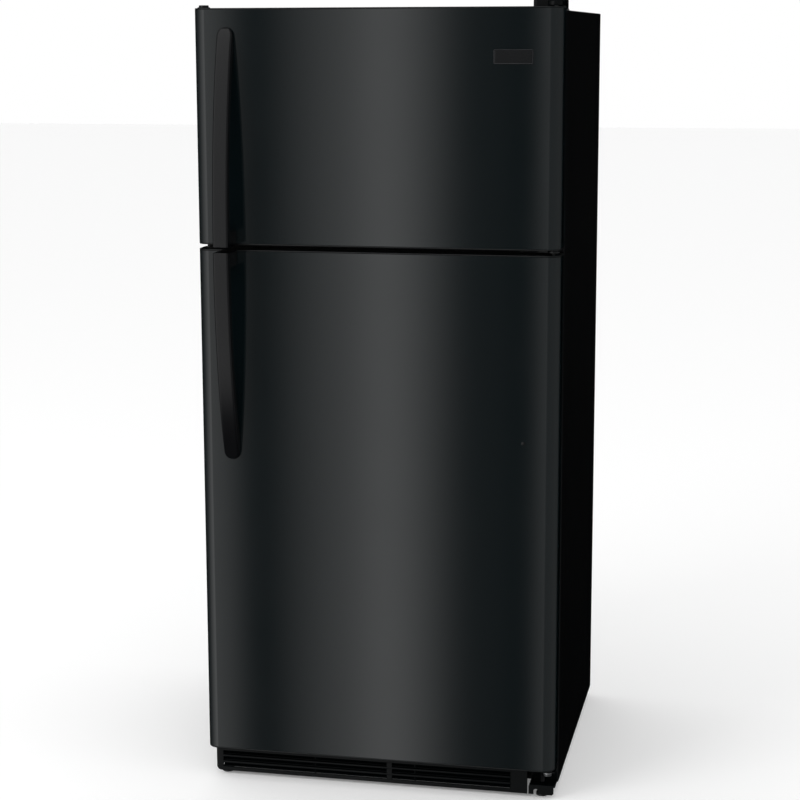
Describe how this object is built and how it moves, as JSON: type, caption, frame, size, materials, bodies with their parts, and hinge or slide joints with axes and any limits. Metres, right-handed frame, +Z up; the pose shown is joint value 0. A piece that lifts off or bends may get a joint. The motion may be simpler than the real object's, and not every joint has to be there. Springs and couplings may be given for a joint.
{
  "type": "top freezer refrigerator",
  "caption": "Free-standing top freezer refrigerator with two right-hinged doors, bowed handles, shelves, drawers, door bins and a rear machine compartment.",
  "frame": {"origin": "on the floor, under the middle of the whole object with its handles", "axes": "+Z up, the doors face -Y, +X to the right as seen from the front"},
  "size_m": [0.756, 0.77, 1.661],
  "materials": {
    "case_paint": "satin",
    "door_paint": "gloss",
    "door_trim": "satin",
    "handle_plastic": "satin",
    "black_plastic": "satin",
    "plate_metal": "satin",
    "zinc_steel": "satin",
    "galvanized_sheet": "matte",
    "rear_board": "matte",
    "foam": "matte",
    "white_liner": "satin",
    "white_plastic": "satin",
    "white_wire": "gloss",
    "clear_plastic": "gloss",
    "shelf_glass": "polished",
    "bulb_glass": "satin",
    "gasket_rubber": "matte",
    "black_rubber": "matte",
    "compressor_paint": "gloss",
    "condenser_paint": "satin",
    "coil_aluminium": "satin",
    "fan_plastic": "satin",
    "motor_steel": "satin"
  },
  "bodies": {
    "cabinet": {"outer_case": "case_paint", "back_panel": "galvanized_sheet", "base_pan": "zinc_steel", "insulation_foam": "foam", "freezer_liner": "white_liner", "fridge_liner": "white_liner", "center_rail": "case_paint", "machine_cover": "rear_board", "compressor": "compressor_paint", "compressor_mounts": "black_rubber", "condenser_coil": "condenser_paint", "fan_motors": "motor_steel", "drain_pan": "fan_plastic", "cord_inlet": "black_rubber", "toe_grille": "black_plastic", "top_hinge": "zinc_steel", "hinge_cover": "black_plastic", "center_hinge": "zinc_steel", "bottom_hinge": "case_paint", "hinge_washers": "white_plastic", "hinge_screws": "zinc_steel", "evaporator_cover": "white_plastic", "evaporator_coil": "coil_aluminium", "freezer_shelf": "white_wire", "control_housing": "white_plastic", "light_bulb": "bulb_glass", "shelf_frames": "white_plastic", "shelf_glass": "shelf_glass", "crisper_cover": "white_plastic"},
    "freezer_door": {"freezer_door_panel": "door_paint", "freezer_door_foam": "foam", "freezer_door_liner": "white_liner", "freezer_door_caps": "door_trim", "freezer_door_gasket": "gasket_rubber", "freezer_handle": "handle_plastic", "freezer_door_racks": "white_plastic", "nameplate": "plate_metal", "hinge_hole_plug": "door_trim"},
    "fridge_door": {"fridge_door_panel": "door_paint", "fridge_door_foam": "foam", "fridge_door_liner": "white_liner", "fridge_door_caps": "door_trim", "fridge_door_gasket": "gasket_rubber", "fridge_handle": "handle_plastic", "fridge_door_bins": "white_plastic", "handle_hole_plug": "door_trim"},
    "dairy_door": {"dairy_lid": "clear_plastic"},
    "crisper_drawer_left": {"crisper_left": "clear_plastic"},
    "crisper_drawer_right": {"crisper_right": "clear_plastic"},
    "freezer_fan": {"evaporator_fan": "fan_plastic"},
    "compressor_fan": {"condenser_fan": "fan_plastic"},
    "temperature_dial": {"temperature_knob": "white_plastic"},
    "freezer_dial": {"freezer_knob": "white_plastic"},
    "door_switch": {"switch_plunger": "white_plastic"},
    "front_wheel_left": {"front_roller_left": "black_rubber"},
    "front_wheel_right": {"front_roller_right": "black_rubber"},
    "rear_wheel_left": {"rear_roller_left": "black_rubber"},
    "rear_wheel_right": {"rear_roller_right": "black_rubber"},
    "foot_left": {"leveling_leg_left": "zinc_steel"},
    "foot_right": {"leveling_leg_right": "zinc_steel"}
  },
  "joints": [
    {"name": "freezer_door_hinge", "type": "hinge", "parent": "cabinet", "child": "freezer_door", "pos_m": [0.361, -0.288, 1.405], "axis": [0, 0, 1], "range_deg": [0, 130]},
    {"name": "fridge_door_hinge", "type": "hinge", "parent": "cabinet", "child": "fridge_door", "pos_m": [0.361, -0.288, 0.612], "axis": [0, 0, 1], "range_deg": [0, 130]},
    {"name": "dairy_lid_hinge", "type": "hinge", "parent": "fridge_door", "child": "dairy_door", "pos_m": [0, -0.203, 1.05], "axis": [1, 0, 0], "range_deg": [0, 85]},
    {"name": "crisper_left_slide", "type": "slide", "parent": "cabinet", "child": "crisper_drawer_left", "axis": [0, -1, 0], "range_m": [0, 0.23]},
    {"name": "crisper_right_slide", "type": "slide", "parent": "cabinet", "child": "crisper_drawer_right", "axis": [0, -1, 0], "range_m": [0, 0.23]},
    {"name": "temperature_dial_turn", "type": "hinge", "parent": "cabinet", "child": "temperature_dial", "pos_m": [-0.07, -0.19, 1.0965], "axis": [0, -1, 0], "range_deg": [0, 270]},
    {"name": "freezer_dial_turn", "type": "hinge", "parent": "cabinet", "child": "freezer_dial", "pos_m": [0, 0.225, 1.23], "axis": [0, -1, 0], "range_deg": [0, 270]},
    {"name": "door_switch_slide", "type": "slide", "parent": "cabinet", "child": "door_switch", "axis": [0, -1, 0], "range_m": [0, 0.006]},
    {"name": "freezer_fan_spin", "type": "hinge", "parent": "cabinet", "child": "freezer_fan", "pos_m": [0, 0.248, 1.44], "axis": [0, 1, 0], "continuous": true},
    {"name": "compressor_fan_spin", "type": "hinge", "parent": "cabinet", "child": "compressor_fan", "pos_m": [0.031, 0.28, 0.14], "axis": [1, 0, 0], "continuous": true},
    {"name": "front_wheel_left_roll", "type": "hinge", "parent": "cabinet", "child": "front_wheel_left", "pos_m": [-0.352, -0.193, 0.018], "axis": [1, 0, 0], "continuous": true},
    {"name": "rear_wheel_left_roll", "type": "hinge", "parent": "cabinet", "child": "rear_wheel_left", "pos_m": [-0.352, 0.353, 0.016], "axis": [1, 0, 0], "continuous": true},
    {"name": "front_wheel_right_roll", "type": "hinge", "parent": "cabinet", "child": "front_wheel_right", "pos_m": [0.352, -0.193, 0.018], "axis": [1, 0, 0], "continuous": true},
    {"name": "rear_wheel_right_roll", "type": "hinge", "parent": "cabinet", "child": "rear_wheel_right", "pos_m": [0.352, 0.353, 0.016], "axis": [1, 0, 0], "continuous": true},
    {"name": "foot_left_screw", "type": "hinge", "parent": "cabinet", "child": "foot_left", "pos_m": [-0.347, -0.265, 0.025], "axis": [0, 0, 1], "continuous": true},
    {"name": "foot_right_screw", "type": "hinge", "parent": "cabinet", "child": "foot_right", "pos_m": [0.347, -0.265, 0.025], "axis": [0, 0, 1], "continuous": true}
  ],
  "couplings": [
    {"joint": "crisper_left_slide", "follows": "fridge_door_hinge", "m_per_rad": 0.1},
    {"joint": "crisper_right_slide", "follows": "fridge_door_hinge", "m_per_rad": 0.1},
    {"joint": "door_switch_slide", "follows": "fridge_door_hinge", "m_per_rad": 0.0026}
  ]
}
